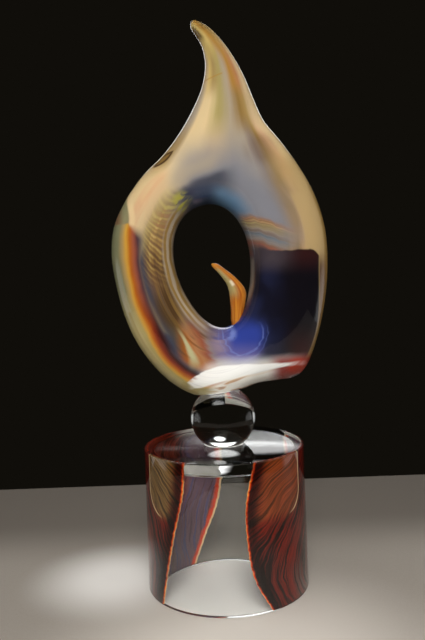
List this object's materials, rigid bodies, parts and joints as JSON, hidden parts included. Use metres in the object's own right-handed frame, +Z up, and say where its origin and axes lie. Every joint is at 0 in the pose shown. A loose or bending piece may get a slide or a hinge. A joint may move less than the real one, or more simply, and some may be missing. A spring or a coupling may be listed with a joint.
{
  "type": "glass sculpture",
  "caption": "Flame-shaped ring of marbled glass with a curved horn and an inner hook, standing on a clear glass ball and a hollow round base with coloured sides.",
  "frame": {"origin": "on the base's axis, on the surface the sculpture stands on", "axes": "+Z up, front of the flame towards -Y, +X to the viewer's right"},
  "size_m": [0.1714, 0.1312, 0.4492],
  "materials": {
    "clear_glass": "clear, fire-polished",
    "wing_glass": "dark maroon and tan combed layers, polished",
    "marbled_glass": "marbled gold, brown, plum and cobalt, polished",
    "amber_glass": "amber, fire-polished",
    "glue": "clear cured adhesive"
  },
  "bodies": {
    "root": {"base_cup": "clear_glass", "left_wing": "wing_glass", "right_wing": "wing_glass", "base_glue_film": "glue", "ball": "clear_glass", "neck_glue_film": "glue", "flame_casing": "clear_glass", "flame_core": "marbled_glass", "inner_tongue": "amber_glass"}
  },
  "joints": []
}
